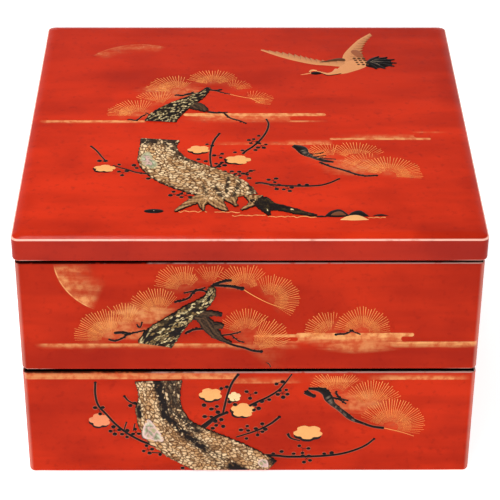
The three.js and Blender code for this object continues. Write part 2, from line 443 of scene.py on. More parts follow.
def lacquer(name, red, paintings, foot, shoulder, foot_shade, gloss):
    """Vermilion outside and black inside, with a painting on each of some faces. foot_shade is how
    much painted shade darkens it near its foot, and gloss how strongly it mirrors."""
    g = Graph(name)
    here = g.point()
    x, y, z = g.parts(here)
    wide = g.most(g.size_of(x), g.size_of(y))
    narrow = g.least(g.size_of(x), g.size_of(y))
    wipe = g.noise(g.stretched(here, 0.013, 0.05, 0.08), 1.0, 5.0)
    cloud = g.noise(here, 0.03, 4.0)
    fleck = g.noise(here, 0.3, 5.0)
    dots = g.noise(here, 1.3, 1.0)
    colour = red
    # Darker at random in wipes, clouds, flecks and dots, and darker towards the edges of each face; darker
    # towards the back and near the foot, both painted shade.
    for darker in (
        g.ease(wipe, 0.36, 0.7, 0.0, 0.4),
        g.ease(cloud, 0.45, 0.72, 0.0, 0.3),
        g.ease(fleck, 0.54, 0.78, 0.0, 0.4),
        g.ease(dots, 0.74, 0.8, 0.0, 0.6) * g.ease(cloud, 0.5, 0.6),
        g.ease(wide, TIER_HALF - 15, TIER_HALF, 0.0, 0.22) * g.ease(cloud, 0.3, 0.6),
        # Painted shade: darker towards the back.
        g.ease(y, -40, 110, 0.0, 0.3),
        # Painted shade: darker near the foot.
        g.ease(z, foot + 18, foot + 9, 0.0, foot_shade),
    ):
        colour = g.mix(darker, colour, RED_DEEP)
    gold = 0.0
    for face, paint in paintings:
        a, b, on = on_face(g, face, here)
        brush = Painter(g, a, b)
        paint(brush)
        gold = gold + brush.gold * on
    colour = g.mix(gold, colour, g.mix(g.ease(fleck, 0.3, 0.65), GOLD_DUST, GOLD_PALE))

    # Rubbed edges: pale wear at the corners of each foot. All along the lid's upper arris a pale
    # line of wear and painted highlight, with painted shade just under it. On the trays the arris is
    # black at the left and a pale line of wear and painted highlight at the right, and the upright
    # corners are a little paler, a painted highlight.
    wear_and_glint = g.noise(here, 0.22, 4.0)
    at_foot = g.ease(z, foot + 0.9, foot + 0.4)
    at_corner = g.ease(narrow, TIER_HALF - 20, TIER_HALF - 6)
    colour = g.mix(at_foot * at_corner * g.ease(wear_and_glint, 0.35, 0.5), colour, RED_WEAR_AND_HIGHLIGHT)
    at_top = g.ease(g.size_of(z - shoulder), 0.5, 0.25)
    if shoulder == LID_ARRIS:
        # Painted shade: a darker band just under the lid's arris.
        colour = g.mix(g.ease(z, shoulder, shoulder - 1.0, 0.0, 0.45), colour, RED_DEEP)
        # A pale line along the lid's arris: wear, and a painted highlight.
        colour = g.mix(at_top * g.ease(wear_and_glint, 0.25, 0.5, 0.5, 0.95), colour, RED_WEAR_AND_HIGHLIGHT)
    else:
        # Painted highlight: the trays' upright corners are a little paler.
        colour = g.mix(g.ease(narrow, TIER_HALF - 2.8, TIER_HALF - 0.8, 0.0, 0.3), colour, RED_WEAR_AND_HIGHLIGHT)
        # The trays' upper arris: black at the left, and at the right a pale line of wear and painted
        # highlight.
        tone = g.mix(g.ease(x + (wear_and_glint - 0.5) * 140, -60, -10), BLACK, LINE_WEAR_AND_HIGHLIGHT)
        colour = g.mix(at_top * g.ease(wear_and_glint, 0.3, 0.45, 0.2, 0.8), colour, tone)

    outside = g.ease(wide, BLACK_WITHIN - 0.1, BLACK_WITHIN + 0.1)
    outside = g.most(outside, g.ease(z, BLACK_BELOW, BLACK_BELOW + 0.5))
    colour = g.mix(outside, BLACK, colour)
    ripple = g.noise(here, 0.05, 2.0) + fleck * 0.05
    return g.finish(
        Base_Color=colour,
        Roughness=g.ease(fleck, 0.3, 0.7, 0.16, 0.26) + gold * 0.15,
        Normal=g.bump(ripple, 0.0004, 0.5),
        Specular_IOR_Level=gloss,
    )


# Curves and meshes

def spline(path, count):
    """Points and directions along a centripetal Catmull-Rom curve through the path's points."""
    path = np.array(path, float)
    ends = [2 * path[0] - path[1], *path, 2 * path[-1] - path[-2]]
    points, slopes = [], []
    for step in range(count + 1):
        place = step / count * (len(path) - 1)
        first = min(int(place), len(path) - 2)
        t = place - first
        p0, p1, p2, p3 = ends[first:first + 4]
        gaps = (p1 - p0, p2 - p1, p3 - p2)
        d0, d1, d2 = (max(np.linalg.norm(gap), 1e-6) ** 0.5 for gap in gaps)
        m1 = ((p1 - p0) / d0 - (p2 - p0) / (d0 + d1) + (p2 - p1) / d1) * d1
        m2 = ((p2 - p1) / d1 - (p3 - p1) / (d1 + d2) + (p3 - p2) / d2) * d1
        c2 = -3 * p1 + 3 * p2 - 2 * m1 - m2
        c3 = 2 * p1 - 2 * p2 + m1 + m2
        points.append(p1 + t * (m1 + t * (c2 + t * c3)))
        slopes.append(m1 + t * (2 * c2 + t * 3 * c3))
    points, slopes = np.array(points), np.array(slopes)[:, :2]
    slopes /= np.maximum(np.linalg.norm(slopes, axis=1, keepdims=True), 1e-9)
    return points, slopes


def beside(slopes):
    """Directions square to a path's own, on its left."""
    return np.stack([-slopes[:, 1], slopes[:, 0]], -1)


def between(one, two, share):
    """The places across and up of a grid that spans two edges."""
    return (one[:, k:k + 1] * (1 - share) + two[:, k:k + 1] * share for k in (0, 1))


def clamp(values):
    """Values held between 0 and 1."""
    return np.clip(values, 0, 1)


class Sheet:
    """Gathers the vertices, faces and colours of one piece."""

    def __init__(self, face):
        self.face = face
        self.points = []
        self.faces = []
        self.colours = []
        self.count = 0

    def grid(self, a, b, h, colour, closed=False, keep=None):
        """A grid of points. closed joins its last column to its first and caps its last row.
        colour is one or one for each point. Faces with no point in keep are left out."""
        rows, columns = np.shape(a)
        index = np.arange(rows * columns).reshape(rows, columns)
        cap = index[-1].tolist() if closed else None
        if closed:
            index = np.hstack([index, index[:, :1]])
        quads = np.stack([index[:-1, :-1], index[:-1, 1:], index[1:, 1:], index[1:, :-1]], -1)
        quads = quads.reshape(-1, 4)
        if keep is not None:
            quads = quads[keep.ravel()[quads].any(axis=1)]
        used, quads = np.unique(quads, return_inverse=True)
        quads = quads.reshape(-1, 4) + self.count
        self.points.append(self.face.place(a, b, h).reshape(-1, 3)[used])
        self.colours.append(np.broadcast_to(colour, (rows, columns, 3)).reshape(-1, 3)[used])
        self.faces += quads.tolist()
        if cap:
            self.faces.append([k + self.count for k in cap])
        self.count += len(used)

    def build(self, name, material, slot):
        mesh = bpy.data.meshes.new(name)
        mesh.from_pydata(np.concatenate(self.points), [], self.faces)
        paint = mesh.color_attributes.new("paint", "FLOAT_COLOR", "POINT")
        colours = np.concatenate(self.colours)
        paint.data.foreach_set("color", np.hstack([colours, np.ones((len(colours), 1))]).ravel())
        mesh.materials.append(material)
        mesh.polygons.foreach_set("use_smooth", [True] * len(mesh.polygons))
        piece = bpy.data.objects.new(name, mesh)
        bpy.context.scene.collection.objects.link(piece)
        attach(piece, BODY)
        return piece


def painted(name, rough, metal, grain, gloss):
    """Lacquer or gold whose colour is on the mesh, with a fine grain of powder or brushing."""
    g = Graph(name)
    here = g.point()
    paint = g.node("ShaderNodeVertexColor", layer_name="paint")
    speck = g.noise(here, 2.2, 3.0)
    colour = g.mix(g.ease(speck, 0.35, 0.75, 0.0, grain), paint, BARK_LINE)
    return g.finish(
        Base_Color=colour,
        Roughness=g.ease(speck, 0.3, 0.7, rough - 0.06, rough + 0.08),
        Metallic=metal,
        Normal=g.bump(speck, 0.00006, 0.6),
        Specular_IOR_Level=gloss,
    )


BARK_FINISH = painted("bark_lacquer", 0.5, 0.0, 0.1, 0.12)
NEEDLE_FINISH = painted("needle_gold", 0.45, 0.1, 0.0, 0.1)
BLACK_FINISH = painted("raised_black", 0.4, 0.0, 0.0, 0.12)
RIM_FINISH = painted("rim_gold_and_highlight", 0.5, 0.1, 0.0, 0.1)
GOLD_FINISH = painted("raised_gold", 0.45, 0.1, 0.12, 0.2)
SHELL_FINISH = painted("shell_inlay", 0.25, 0.0, 0.0, 0.4)

# Section of a raised line: places across it, and heights there
SWELL = np.array([(-1.0, -0.06), (-0.72, 0.7), (0.0, 1.0), (0.72, 0.7), (1.0, -0.06)])


def stroke(sheet, path, height, colour, steps=None, spare=0.0):
    """A rounded ridge along a path of (across, up, half width); spare widens it all along."""
    steps = steps or 6 * (len(path) - 1)
    points, slopes = spline(path, steps)
    half = points[:, 2:3] + spare
    side = beside(slopes)
    a = points[:, 0:1] + side[:, 0:1] * half * SWELL[:, 0]
    b = points[:, 1:2] + side[:, 1:2] * half * SWELL[:, 0]
    h = np.broadcast_to(SWELL[:, 1] * height, a.shape)
    sheet.grid(a[:, ::-1], b[:, ::-1], h[:, ::-1], colour)


def tapered(points, start, end):
    """A path whose half width goes evenly from start to end."""
    return [(x, y, w) for (x, y), w in zip(points, np.linspace(start, end, len(points)))]


def dome(sheet, x, y, radius, height, colour, lobes=0, depth=0.0, turn=0.0, squash=1.0, around=12):
    """A low rounded boss, with petals if lobes is set."""
    angle = np.linspace(0, 2 * math.pi, around, endpoint=False)
    share = np.array([1.0, 0.85, 0.55, 0.1])
    rise = np.sqrt(1 - share ** 2)
    edge = radius * (1 - depth * np.abs(np.sin(lobes * (angle - turn) / 2)) ** 6)
    a = x + share[:, None] * edge * np.cos(angle)
    b = y + share[:, None] * edge * np.sin(angle) * squash
    h = np.broadcast_to((rise * height - 0.03)[:, None], a.shape)
    sheet.grid(a, b, h, colour, closed=True)


def patch(sheet, first, second, height, colour, steps=16, across=7, base=0.0):
    """A low pillow between two edges that run the same way, above base. colour is one, or made
    from the grid."""
    one, along = spline(first, steps)
    two = spline(second, steps)[0]
    over = two - one
    if np.sum(along[:, 0] * over[:, 1] - along[:, 1] * over[:, 0]) > 0:
        one, two = two, one
    share = np.linspace(0, 1, across)
    a, b = between(one, two, share)
    middle = np.sin(np.linspace(0, math.pi, steps + 1))[:, None] * np.sin(math.pi * share)
    h = base - 0.05 + height * middle ** (0.35 if base == 0 else 0.12)
    sheet.grid(a, b, h, colour(a, b, middle) if callable(colour) else colour)


# Pine needles

NEEDLE_HEIGHT = 0.07


def fan_needles(sheet, fans, gap, width, top):
    """Raised gold lines, every other one short. They stop at a later fan's outline, which hides
    them, and below top."""
    for number, (x, y, radius, facing, spread, amount) in enumerate(fans):
        count = int(math.radians(2 * spread) * radius / gap)
        for k in range(2 * count):
            turn = (k + 0.5 + rng.uniform(-0.2, 0.2)) / count - 1
            angle = math.radians(facing + spread * turn)
            inner, length, weight = (0.6, 0.66, 0.5) if k % 2 else (0.25, 1.0, 1.0)
            reach = radius * rng.uniform(0.93, 1.03) * length * (1 - 0.12 * turn ** 2)
            shares = np.linspace(inner, 1.0, 7)
            bend = angle + 0.05 * (shares - 0.4)
            a = x + reach * shares * np.cos(bend)
            b = y + reach * shares * np.sin(bend)
            free = b < top
            for fx, fy, fr, ff, fs, _ in fans[number + 1:]:
                away = np.hypot(a - fx, b - fy)
                aim = np.degrees(np.arctan2(b - fy, a - fx))
                off = np.abs((aim - ff + 180) % 360 - 180)
                free &= ~((away < 0.97 * fr) & (off < fs + 4))
            if free.sum() < 3:
                continue
            a, b = a[free], b[free]
            tone = np.array(NEEDLE) * rng.uniform(0.8, 1.15)
            thick = width * (0.5 + 0.5 * amount) * weight * (1 - 0.55 * abs(turn) ** 3)
            points = [(a[at], b[at]) for at in (0, len(a) // 2, -1)]
            stroke(sheet, tapered(points, inner * thick, thick), NEEDLE_HEIGHT, tone, steps=3)


# Twigs, buds and blossoms in raised black and gold

TWIG_HEIGHT = 0.34


def twigs(sheets, paths, knots=False):
    """Each is its half widths at its start and end, then its points; it ends in a small knob."""
    black, rim = sheets
    for start, end, points in paths:
        path = tapered(points, start, end)
        # A pale rim under the twig: gold outline and painted highlight.
        stroke(rim, path, 0.06, RIM, spare=0.22)
        stroke(black, path, TWIG_HEIGHT, BLACK)
        dome(black, *points[-1], end * 1.35, TWIG_HEIGHT, BLACK)
        if not knots:
            continue
        for x, y in spline(points, 3 * (len(points) - 1))[0][:-1]:
            kx, ky = x + rng.uniform(-0.5, 0.5), y + rng.uniform(-0.5, 0.5)
            radius = min(start, 0.9) * rng.uniform(0.8, 1.6)
            dome(black, kx, ky, radius, TWIG_HEIGHT, BLACK, squash=rng.uniform(0.6, 1.0), around=8)


def grained(sheets, path, height):
    """A thick branch of black lacquer, with a few pale streaks along its crest, a painted highlight."""
    black, rim = sheets
    steps = 60
    # A pale rim under the branch: gold outline and painted highlight.
    stroke(rim, path, 0.06, RIM, spare=0.3)
    across, along = np.meshgrid(SWELL[:, 0] * 3, np.linspace(0, 14, steps + 1))
    # Painted highlight: pale streaks along the crest of the branch.
    lines = np.array([0.0, 0.15, 0.6, 0.1, 0.0]) * clamp(wander(along, across, 1.3, 21) * 3 - 0.6)
    stroke(black, path, height, blend(BLACK, GREY, lines)[:, ::-1], steps=steps)


def bud(sheets, x, y, radius):
    black, rim = sheets
    # A pale rim under the bud: gold outline and painted highlight.
    dome(rim, x, y, radius + 0.28, 0.08, RIM)
    dome(black, x, y, radius, 0.45, BLACK, squash=rng.uniform(0.75, 1.0))


def buds(sheets, x, y, count=1, spread=0.0):
    """A bud, or a cluster of them so far from its middle, on short stems."""
    turn = rng.uniform(0, 2 * math.pi)
    for k in range(count):
        angle = turn + 2 * math.pi * (k + rng.uniform(-0.15, 0.15)) / count
        away = spread * rng.uniform(0.75, 1.1)
        bx, by = x + away * math.cos(angle), y + away * math.sin(angle)
        if away > 0.5:
            stroke(sheets[0], tapered([(x, y), (bx, by)], 0.16, 0.13), 0.12, BLACK)
        bud(sheets, bx, by, rng.uniform(1.0, 1.4))


PETALS = 5


def blossom(gold, sheets, x, y, radius, turn, squash, colour=PEACH):
    """An open plum flower in raised gold, on a dark calyx that shows along one side."""
    angle = math.radians(turn)
    cx, cy = x + 0.2 * radius * math.cos(angle), y + 0.2 * radius * math.sin(angle)
    dome(sheets[0], cx, cy, radius * 0.98, 0.22, BLACK, PETALS, 0.14, angle, squash, around=40)
    dome(gold, x, y, radius, 0.5, colour, PETALS, 0.2, angle, squash, around=50)
    for k in range(PETALS):
        out = angle + 2 * math.pi * k / PETALS
        sx, sy = x + 0.3 * radius * math.cos(out), y + 0.3 * radius * math.sin(out) * squash
        dome(gold, sx, sy, 0.24, 0.58, PEACH_DEEP, around=6)


# Trunks

def cells(u, v, length, width, seed):
    """Scales of bark: for each point, how far it is from the nearest joint, and its scale's number."""
    rows, columns = 512, 64
    table = np.random.default_rng(seed).uniform(0.12, 0.88, (rows, columns, 3))
    cu, cv = u / length, v / width
    best = np.full(u.shape, 9.0)
    second = np.full(u.shape, 9.0)
    number = np.zeros(u.shape)
    for du in (-1, 0, 1):
        for dv in (-1, 0, 1):
            iu, iv = np.floor(cu).astype(int) + du, np.floor(cv).astype(int) + dv
            at = table[iu % rows, iv % columns]
            away = np.hypot(cu - iu - at[..., 0], cv - iv - at[..., 1] - 0.5 * (iu % 2))
            nearer = away < best
            second = np.where(nearer, best, np.minimum(second, away))
            number = np.where(nearer, at[..., 2], number)
            best = np.where(nearer, away, best)
    return second - best, number


def wander(u, v, scale, seed):
    """Smooth noise from -1 to 1, the same each run."""
    draw = np.random.default_rng(seed)
    total = np.zeros(u.shape)
    for k in range(6):
        angle, phase = draw.uniform(0, 2 * math.pi, 2)
        pitch = (0.6 + 0.35 * k) / scale
        along = u * math.cos(angle) + v * math.sin(angle)
        total += np.sin(along * pitch * 2 * math.pi + phase) / (1 + 0.4 * k)
    return np.clip(total / 2, -1, 1)


def blend(first, second, share):
    return np.asarray(first) * (1 - share[..., None]) + np.asarray(second) * share[..., None]


LIMB_STRETCHES = 12                 # along each limb, as in the solids
SPARE = 0.12                        # how far the bark reaches past the solid's limb, each side
GROW = 0.04                         # and above it
BARK_STEP = 0.3                     # from one point of its mesh to the next
HIDDEN = -0.05                      # height of the points at its rim, just inside the solid
BARK_SEED = 11


def limb(sheet, path, unit, foot, bark, seed, window):
    """Bark over one limb of the solids: the same outline, a little wider and higher. The solids
    cut their limbs off at the window's low and high edge."""
    path = np.array(path, float)
    path[:, 1] += foot / unit
    points, slopes = spline(path, LIMB_STRETCHES)
    points = points * unit
    side = beside(slopes)
    lengths = np.hypot(*np.diff(points[:, :2], axis=0).T)
    along = np.concatenate([[0], np.cumsum(lengths)])
    u = np.linspace(0, along[-1], max(int(along[-1] / BARK_STEP), 8))
    left, right = (
        np.stack([np.interp(u, along, edge[:, k]) for k in (0, 1)], -1)
        for edge in (points[:, :2] + side * points[:, 2:3], points[:, :2] - side * points[:, 2:3])
    )
    half = np.hypot(*(left - right).T) / 2
    share = np.linspace(-1, 1, max(int(2 * half.max() / BARK_STEP), 6))
    ragged = half + (0.6 * np.abs(wander(u, 0 * u, 3.1, seed)) + SPARE)
    middle = (left + right) / 2
    reach = (left - middle) * (ragged / np.maximum(half, 0.05))[:, None]
    a = middle[:, 0:1] + reach[:, 0:1] * share
    b = middle[:, 1:2] + reach[:, 1:2] * share
    v = ragged[:, None] * share
    u = np.broadcast_to(u[:, None], v.shape)
    inset = np.minimum(ragged[:, None] * (1 - np.abs(share)), np.minimum(u, along[-1] - u) + SPARE)
    lift, colour = bark(u, v, inset, a, b - foot, seed)
    rise = clamp(inset / 0.3) ** 0.5
    h = np.where(inset < 1e-6, HIDDEN, rise * (RELIEF + GROW) + clamp(inset / 0.8) * lift)
    low, high = window
    within = (b > low) & (b < high)
    h = np.where(within, h, HIDDEN)
    b = np.clip(b, low, high)
    sheet.grid(a[:, ::-1], b[:, ::-1], h[:, ::-1], colour[:, ::-1], keep=within[:, ::-1])


def shade(a, b, strokes):
    """How dark the bark is at a point, from strokes of x, y to x, y, with a half width and strength."""
    total = np.zeros(a.shape)
    for x0, y0, x1, y1, half, strength in strokes:
        dx, dy = x1 - x0, y1 - y0
        along = clamp(((a - x0) * dx + (b - y0) * dy) / (dx * dx + dy * dy))
        away = np.hypot(a - x0 - along * dx, b - y0 - along * dy)
        total = np.maximum(total, strength * clamp(1.5 - away / half))
    return total


# Dark places on the plums' bark: across, up, across, up, half width, strength

LOWER_SHADE = [
    (-50, 64, -47, 56, 3.0, 1.2), (-47, 56, -44.5, 38, 2.6, 1.1), (-44.5, 38, -34, 26, 2.4, 1.0),
    (-34, 26, -24, 16, 3.0, 0.9), (-24, 16, -12, 8, 1.8, 0.6), (-41, 62, -39, 40, 5.5, 0.8),
    (-37, 38, -28, 29, 3.0, 0.85), (-9, 4, -4, 1, 3.0, 1.2), (13, 8, 19, 1, 2.2, 1.2),
    (-58, 64, -36, 64, 1.6, 1.1), (-59, 46, -58, 38, 1.8, 0.9), (-22, 12, -14, 2, 1.4, 0.5),
]
LID_SHADE = [
    (-57, -24, -38, -24, 4.2, 0.85), (-43, -25, -37, -39, 4.0, 0.75), (-36, -42, -26, -48, 1.4, 0.8),
    (3, -62, 8, -80, 3.4, 0.9), (-5, -66, -8, -82, 1.3, 0.8), (-18, -72, -14, -84, 1.3, 0.8),
    (-1, -60, 1, -78, 1.1, 0.8), (-28, -80, -34, -90, 1.2, 0.8), (-11, -62, -12, -78, 0.9, 0.8),
    (-24, -70, -22, -80, 0.9, 0.7), (-40, -50, -20, -62, 0.7, 0.5), (5, -70, 3, -90, 1.3, 0.8),
]


def plum_bark(strokes, length, width, brown):
    """Bark with scales of that length and width; brown is how many of them are dark."""
    def bark(u, v, inset, a, b, seed):
        """Cream scales between brown lines, and black with a few cream flecks where it is dark."""
        warp = 0.7 * wander(u, v, 5.0, seed + 1)
        joint, number = cells(u + warp + 100, v + warp + 60, length, width, seed)
        scale = clamp((joint - 0.1) / 0.3)
        tone = clamp(number * 1.9 - 0.45 + 0.5 * wander(u, v, 9.0, seed + 4))
        colour = blend(BARK_LINE, blend(BARK_TAN, BARK_CREAM, tone), scale)
        hollow = clamp(wander(u, v, 7.0, seed + 2) * 1.6 - 0.6)
        colour = blend(colour, BARK_LINE, 0.55 * np.maximum(hollow * (number < 0.6), number < brown))
        dark = shade(a, b, strokes) * clamp(1.1 + 0.6 * wander(u, v, 3.0, seed + 3))
        dark = np.where(number > 0.42 + 0.42 * dark, dark * (1 - 0.85 * scale), 1.12 * dark)
        edge = clamp(1.5 - inset / (0.5 + 0.35 * wander(u, v, 2.6, seed + 5)))
        dark = clamp(np.maximum(dark, edge))
        return (0.15 * scale - 0.02) * (1 - 0.6 * dark), blend(colour, BLACK, dark)
    return bark


def pine_bark(length, width, pale, olive):
    """Black, with angular flecks on a share of its scales, pale, and a wash of olive."""
    def bark(u, v, inset, a, b, seed):
        warp = 0.5 * wander(u, v, 4.0, seed + 1)
        joint, number = cells(u + 100 + 0.9 * v + warp, v + 60 + warp, length, width, seed)
        scale = clamp(joint / 0.3)
        lit = clamp((joint - 0.13) * 8) * (number > 0.88 - 0.76 * pale)
        colour = blend(BLACK, blend(FLECK_DEEP, FLECK, clamp(3.2 * number - 1.8)), lit)
        middle = clamp(wander(u, v, 9.0, seed + 2) * 1.6)
        colour = blend(colour, BARK_OLIVE, olive * middle * (number < 0.7) * scale)
        edge = clamp(1.4 - inset / 0.5)
        return 0.15 * scale - 0.02, blend(colour, BLACK, edge)
    return bark


def brushed_bark(deep, pale):
    """Smoother bark, brushed pale along its length, with a black edge."""
    def bark(u, v, inset, a, b, seed):
        brushed = clamp(0.45 + 0.6 * wander(u * 0.35, v, 1.6, seed))
        rim = clamp(1.4 - inset / 0.7)
        return 0.08 * brushed, blend(blend(deep, pale, brushed), BLACK, rim)
    return bark


def shell(border):
    """Mother of pearl: a border round broken olive and pink, with dark cracks and a dark outline."""
    def colour_at(a, b, middle):
        tints = np.array(SHELL_TINTS)
        turn = np.clip(1.5 + 1.5 * wander(a, b, 6.0, 31), 0, 2.99)
        first = turn.astype(int)
        share = (turn - first)[..., None]
        colour = tints[first] * (1 - share) + tints[first + 1] * share
        colour = blend(border, colour, clamp(middle * 2.6 - 0.7))
        crack = clamp(1 - np.abs(wander(a, b, 5.0, 32)) / 0.1) * clamp(middle * 3 - 1)
        outline = clamp(1.6 - middle / 0.12)
        return blend(colour, BARK_LINE, np.maximum(0.9 * crack, outline))
    return colour_at


# Limbs as in the solids: across, up and half width, in hundredths of the tray's height or, on the
# lid, of its width

TRAY_PLUM = [
    [(-72, 92.6, 18.5), (-71.5, 76.8, 16), (-72, 60.2, 19.3), (-64, 40.7, 20),
     (-46.7, 27.1, 20.5), (-29.4, 17.3, 21.5), (-12, 6, 23.3), (7.5, -9, 24.8)],
]
TRAY_PINE = [
    [(-73.8, 23.9, 13.2), (-73.4, 26.3, 13), (-66, 35.6, 11.6), (-55, 47.4, 7.8),
     (-45.2, 56.5, 6.6), (-36.9, 62.5, 5.1), (-30.9, 69.3, 3.9), (-29.1, 75.3, 2.7), (-29.8, 79.2, 1.5)],
]
TRAY_PINE_BRANCHES = [
    [(-43.7, 51.8, 4.2), (-36.1, 53, 3.6), (-28.6, 54.2, 2.2), (-21.4, 52.7, 1.5)],
    [(-37.7, 51.2, 4.5), (-32.4, 42.9, 5.1), (-27.9, 36.1, 4.5), (-21.8, 29.8, 2.1), (-14.3, 25.9, 0.8)],
    [(-28.6, 42.2, 3.8), (-23.3, 42.5, 2.7), (-20.5, 41.3, 1.2)],
]
LID_PLUM_TRUNK = [
    [(-20, -8.9, 4.4), (-20.4, -12.5, 4), (-19.9, -16.7, 5), (-18.5, -20.4, 5.4), (-15.2, -23.8, 5.9),
     (-11.3, -26.5, 5.9), (-7.1, -29.2, 5.7), (-4.8, -32.1, 5.8), (-4, -34.6, 6)],
]
LID_PLUM_ROOTS = [
    [(-9.2, -33.8, 1.9), (-12.1, -35.8, 1.2), (-14.2, -37.9, 0.7), (-16, -40, 0.2)],
    [(-9.2, -34.6, 1.7), (-10.2, -37.1, 0.8), (-9.8, -39.8, 0.2)],
    [(-7.9, -34.2, 2.1), (-6.7, -37.1, 1.4), (-4.8, -39.8, 0.3)],
    [(-4.2, -34.2, 1.7), (-3.5, -36.3, 0.7), (-2.7, -37.9, 0.2)],
    [(0.8, -33.3, 2.1), (0.6, -36.7, 0.8), (-1.9, -39.4, 0.2)],
]
LID_BLACK_ROOTS = [
    [(1.7, -34.6, 2.1), (3.1, -38.3, 1.2), (4.2, -41.5, 0.2)],
    [(2.4, -35.4, 1.9), (3.7, -37.5, 1.9), (6.3, -38.3, 1.1), (8.8, -39.4, 1), (11.3, -40.6, 0.7),
     (14.2, -41.6, 0.2)],
]
LID_PINE = [
    [(-20.2, -0.7, 3.6), (-20.1, 0.3, 3.5), (-18.7, 3.2, 3.2), (-16.9, 5.8, 2.7),
     (-14.6, 8.5, 2.1), (-12.5, 10.8, 1.6), (-10.8, 12.9, 1.1), (-9.7, 15, 0.6), (-9.4, 16, 0.4)],
]
LID_PINE_BRANCH = [
    [(-13.4, 7.4, 1.4), (-12.2, 6.9, 1.6), (-10.9, 5.9, 1.3), (-9.6, 4.3, 0.5)],
]

# On the faces, in millimetres. A twig is its half widths at the start and end, and its points. Buds
# are their middle, and for a cluster how many and how far from it. A blossom is its middle, radius,
# turn in degrees and height over width, and its colour if it isn't the usual one.

LID_PLUM_TWIGS = [
    (0.4, 0.6, [(-76, -45), (-79, -39), (-82, -33), (-85, -28.5)]),
    (0.6, 0.4, [(-53, -58), (-60, -56), (-64, -53.5), (-68, -51.5), (-72, -49)]),
    (0.5, 0.65, [(-20, -50), (-20.7, -43), (-20.7, -36), (-20, -28), (-18.5, -21), (-16, -14.5)]),
    (0.9, 0.6, [(-22, -50), (-18, -51), (-15, -47)]),
    (0.8, 0.5, [(-3.5, -37), (-2, -34), (2, -29), (5.5, -23), (8.5, -16), (10.5, -9), (11, -3), (10, 1.5)]),
    (0.4, 0.3, [(-2, -57), (3, -54)]),
    (0.9, 0.6, [(3, -67.5), (6, -67), (12, -69), (20, -70), (30, -70.3), (37, -69.5), (42, -67), (47, -63)]),
    (0.4, 0.3, [(-34.5, -70), (-34.5, -76), (-37, -79)]),
]
LID_BUDS = [
    (-78, -44.5, 2, 1.6), (-69, -48), (-60.5, -50.5, 2, 1.8), (-66.5, -56.5, 3, 2.6), (-57, -57),
    (-53, -62.5), (-21.3, -27, 2, 1.8), (-16, -38.3, 3, 2.4), (-23, -44.5), (-27, -42.5),
    (-15.5, -48, 4, 2.6), (5.5, -17), (2, -23, 4, 2.8), (7, -28, 4, 3), (3.5, -32.5),
    (-3.5, -33), (-7.5, -35), (-10.5, -57, 4, 2.8), (-5, -58, 4, 2.4), (-0.5, -56, 2, 2),
    (-1, -60.5, 2, 2.4), (12.5, -64.5, 3, 2.4), (13.5, -71, 3, 2.6), (20, -72.5, 4, 2.8), (26, -69),
    (30, -69), (-39, -78.5, 3, 2.4), (-33, -79.5, 4, 2.8), (-27.5, -80.5),
]
LID_BLOSSOMS = [(-27, -32, 6.2, -100, 0.72), (-6, -43, 7.2, -140, 0.66), (-76.5, -52, 6, -130, 0.66)]
LID_PINE_TWIGS = [
    (0.6, 0.4, [(-66, 1.5), (-62, 0.5), (-59, 5), (-57, 7)]),
    (0.35, 0.3, [(-57, 9), (-54, 6)]),
    (0.9, 0.5, [(-41, 30), (-37, 29.5), (-33, 31.5), (-29, 31)]),
    (0.35, 0.3, [(-33, 31.5), (-31, 33.5)]),
    (0.9, 0.4, [(-22, 36), (-18, 35.5), (-15, 36.5)]),
    (0.6, 0.3, [(-18, 35), (-14, 32.5), (-10.5, 31)]),
    (1.1, 0.5, [(-22, 10), (-18, 9), (-12, 9.5)]),
    (0.6, 0.5, [(-13, 8), (-10, 3), (-5, 0), (-1.5, -3)]),
    (0.8, 0.7, [(38, -46), (43, -50), (50, -54), (56, -58), (61, -60), (67, -59.5)]),
    (0.35, 0.3, [(33, -37), (37, -36.5), (40, -35)]),
    (0.35, 0.3, [(35, -40), (41, -38.5)]),
    (0.35, 0.3, [(38, -41), (42, -42), (46, -42.5)]),
]
LID_SPRIG = [(24, -28, 1.5), (28, -31, 3.1), (30, -36, 2.5), (34, -40, 1.3), (40, -44, 1.4), (45, -45.5, 0.7)]

UPPER_TWIGS = [
    (0.6, 0.45, [(-73, 88), (-70, 87), (-66, 88.5), (-63, 91), (-60, 92), (-54.5, 93.5)]),
    (0.9, 0.7, [(-69, 92), (-65.5, 92.3), (-62, 91.5)]),
    (0.3, 0.4, [(-58, 97), (-56.5, 95.5), (-55.5, 98.5)]),
    (0.6, 0.5, [(-38, 111.5), (-35, 112), (-31, 114), (-29, 117), (-26, 118.5), (-21, 117.5)]),
    (0.5, 0.4, [(-33, 117), (-29, 118), (-23, 120)]),
    (0.9, 0.7, [(-21, 118.5), (-18, 122), (-13, 124), (-10, 124.5)]),
    (0.8, 1.0, [(-19, 121.5), (-10, 121), (-4, 119.5)]),
    (0.8, 0.6, [(-33, 92), (-29, 94), (-24, 94.5)]),
    (0.5, 0.4, [(-18, 90), (-10, 91), (-5, 92.5)]),
    (0.4, 0.3, [(-9, 90), (-6, 87), (-3, 86)]),
    (0.6, 0.8, [(-14, 87), (-8, 84), (-3, 82.5), (2, 80.5), (6, 80)]),
    (0.6, 0.4, [(45, 91), (50, 91.5), (53, 93.5)]),
    (0.3, 0.3, [(51.5, 93.5), (57, 91)]),
    (0.2, 0.2, [(9, 73), (10.5, 71.5), (11, 70)]),
]

